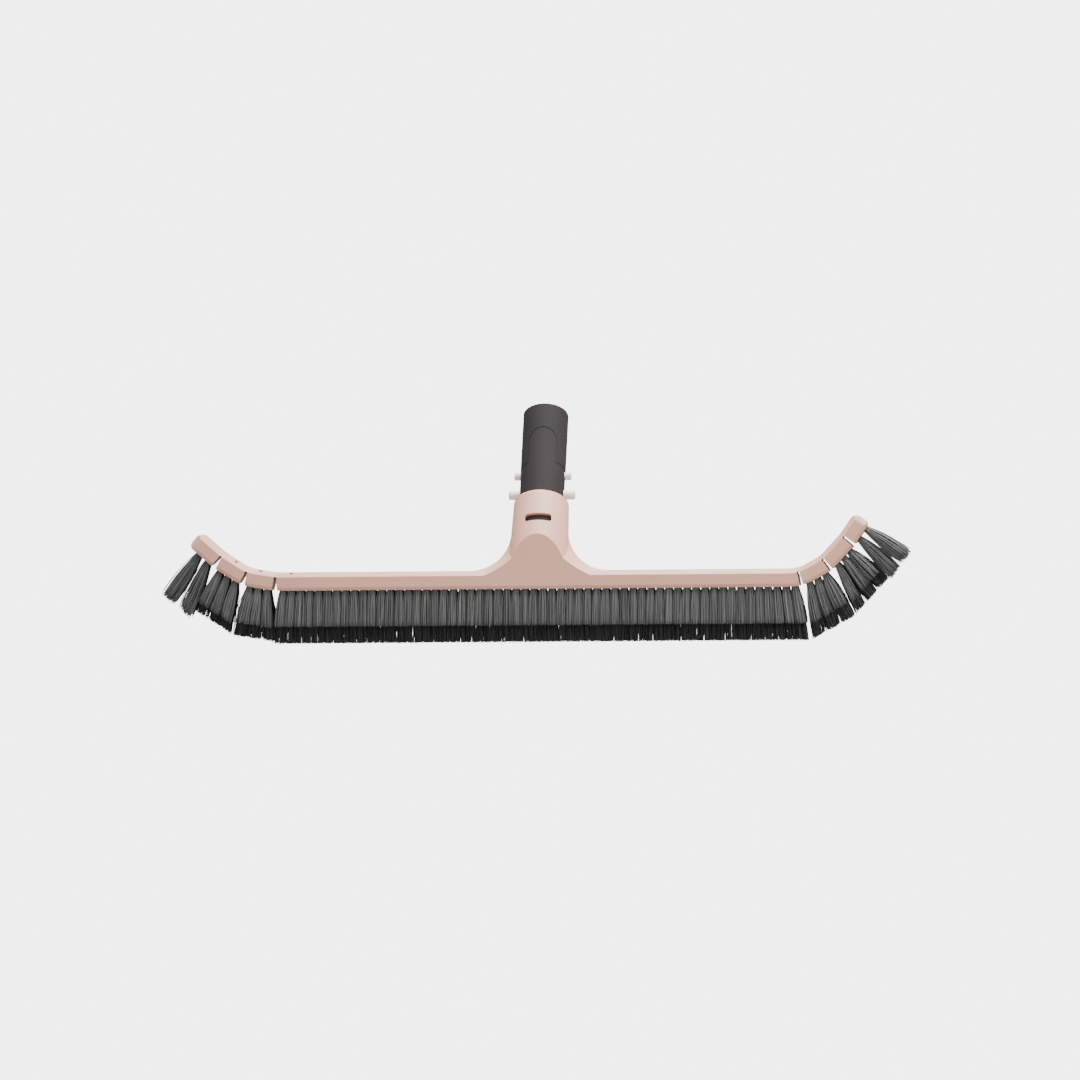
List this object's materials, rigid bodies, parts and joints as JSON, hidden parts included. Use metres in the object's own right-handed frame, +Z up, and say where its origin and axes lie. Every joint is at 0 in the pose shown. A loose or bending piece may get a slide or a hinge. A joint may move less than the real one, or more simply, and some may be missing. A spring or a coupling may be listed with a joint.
{
  "type": "pool wall brush",
  "caption": "Wide pool wall brush with upswept flexing ends, rows of nylon tufts and a leaning collar with a snap-in pole adapter.",
  "frame": {"origin": "centre of the collar's mouth, on the axis of the pole spigot", "axes": "+X along the rail to the right seen from the front, +Y to the back, +Z up away from the bristles; the pole axis leans 34 degrees from +Z towards +Y"},
  "size_m": [0.5111, 0.095, 0.1619],
  "materials": {
    "rail_plastic": "fine satin moulded, pinkish tan",
    "adapter_plastic": "satin moulded, dark grey",
    "pin_plastic": "smooth moulded, off white",
    "spring_steel": "rolled strip",
    "anchor_wire": "flat drawn wire",
    "grey_nylon": "drawn filaments, dark grey",
    "black_nylon": "drawn filaments, black"
  },
  "bodies": {
    "head": {"brush_head": "rail_plastic", "pole_adapter": "adapter_plastic", "lower_clip_spring": "spring_steel", "upper_clip_spring": "spring_steel", "head_anchors": "anchor_wire", "front_row_tufts": "grey_nylon", "middle_row_tufts": "black_nylon", "rear_row_tufts": "grey_nylon", "left_web_1": "rail_plastic", "right_web_1": "rail_plastic"},
    "left_inner": {"left_inner_anchors": "anchor_wire", "left_inner_front_tufts": "grey_nylon", "left_inner_middle_tufts": "black_nylon", "left_inner_rear_tufts": "grey_nylon", "left_inner_segment": "rail_plastic", "left_web_2": "rail_plastic"},
    "left_middle": {"left_middle_anchors": "anchor_wire", "left_middle_front_tufts": "grey_nylon", "left_middle_middle_tufts": "black_nylon", "left_middle_rear_tufts": "grey_nylon", "left_middle_segment": "rail_plastic", "left_web_3": "rail_plastic"},
    "left_end": {"left_end_anchors": "anchor_wire", "left_end_front_tufts": "grey_nylon", "left_end_rear_tufts": "grey_nylon", "left_end_segment": "rail_plastic"},
    "left_lower_pin": {"left_lower_pin": "pin_plastic"},
    "left_upper_pin": {"left_upper_pin": "pin_plastic"},
    "right_inner": {"right_inner_anchors": "anchor_wire", "right_inner_front_tufts": "grey_nylon", "right_inner_middle_tufts": "black_nylon", "right_inner_rear_tufts": "grey_nylon", "right_inner_segment": "rail_plastic", "right_web_2": "rail_plastic"},
    "right_middle": {"right_middle_anchors": "anchor_wire", "right_middle_front_tufts": "grey_nylon", "right_middle_middle_tufts": "black_nylon", "right_middle_rear_tufts": "grey_nylon", "right_middle_segment": "rail_plastic", "right_web_3": "rail_plastic"},
    "right_end": {"right_end_anchors": "anchor_wire", "right_end_front_tufts": "grey_nylon", "right_end_rear_tufts": "grey_nylon", "right_end_segment": "rail_plastic"},
    "right_lower_pin": {"right_lower_pin": "pin_plastic"},
    "right_upper_pin": {"right_upper_pin": "pin_plastic"}
  },
  "joints": [
    {"name": "left_flex_1", "type": "hinge", "parent": "head", "child": "left_inner", "pos_m": [-0.17936, -0.0264, -0.04909], "axis": [0, 1, 0], "range_deg": [-2, 8], "stiffness_Nm_per_rad": 0.8, "deforming": ["left_web_1"]},
    {"name": "left_flex_2", "type": "hinge", "parent": "left_inner", "child": "left_middle", "pos_m": [-0.19937, -0.0264, -0.0452], "axis": [0, 1, 0], "range_deg": [-2, 8], "stiffness_Nm_per_rad": 0.8, "deforming": ["left_web_2"]},
    {"name": "left_flex_3", "type": "hinge", "parent": "left_middle", "child": "left_end", "pos_m": [-0.21684, -0.0264, -0.03449], "axis": [0, 1, 0], "range_deg": [-2, 8], "stiffness_Nm_per_rad": 0.8, "deforming": ["left_web_3"]},
    {"name": "right_flex_1", "type": "hinge", "parent": "head", "child": "right_inner", "pos_m": [0.17767, -0.0264, -0.0482], "axis": [0, -1, 0], "range_deg": [-2, 8], "stiffness_Nm_per_rad": 0.8, "deforming": ["right_web_1"]},
    {"name": "right_flex_2", "type": "hinge", "parent": "right_inner", "child": "right_middle", "pos_m": [0.19472, -0.0264, -0.03949], "axis": [0, -1, 0], "range_deg": [-2, 8], "stiffness_Nm_per_rad": 0.8, "deforming": ["right_web_2"]},
    {"name": "right_flex_3", "type": "hinge", "parent": "right_middle", "child": "right_end", "pos_m": [0.20915, -0.0264, -0.0243], "axis": [0, -1, 0], "range_deg": [-2, 8], "stiffness_Nm_per_rad": 0.8, "deforming": ["right_web_3"]},
    {"name": "left_lower_press", "type": "slide", "parent": "head", "child": "left_lower_pin", "axis": [1, 0, 0], "range_m": [0, 0.0076], "stiffness_N_per_m": 500, "springref_m": -0.003, "deforming": ["lower_clip_spring"]},
    {"name": "right_lower_press", "type": "slide", "parent": "head", "child": "right_lower_pin", "axis": [-1, 0, 0], "range_m": [0, 0.0076], "stiffness_N_per_m": 500, "springref_m": -0.003},
    {"name": "left_upper_press", "type": "slide", "parent": "head", "child": "left_upper_pin", "axis": [1, 0, 0], "range_m": [0, 0.0044], "stiffness_N_per_m": 500, "springref_m": -0.003, "deforming": ["upper_clip_spring"]},
    {"name": "right_upper_press", "type": "slide", "parent": "head", "child": "right_upper_pin", "axis": [-1, 0, 0], "range_m": [0, 0.0044], "stiffness_N_per_m": 500, "springref_m": -0.003}
  ],
  "couplings": [
    {"joint": "left_flex_2", "follows": "left_flex_1", "ratio": 1},
    {"joint": "left_flex_3", "follows": "left_flex_1", "ratio": 1},
    {"joint": "right_flex_2", "follows": "right_flex_1", "ratio": 1},
    {"joint": "right_flex_3", "follows": "right_flex_1", "ratio": 1}
  ]
}
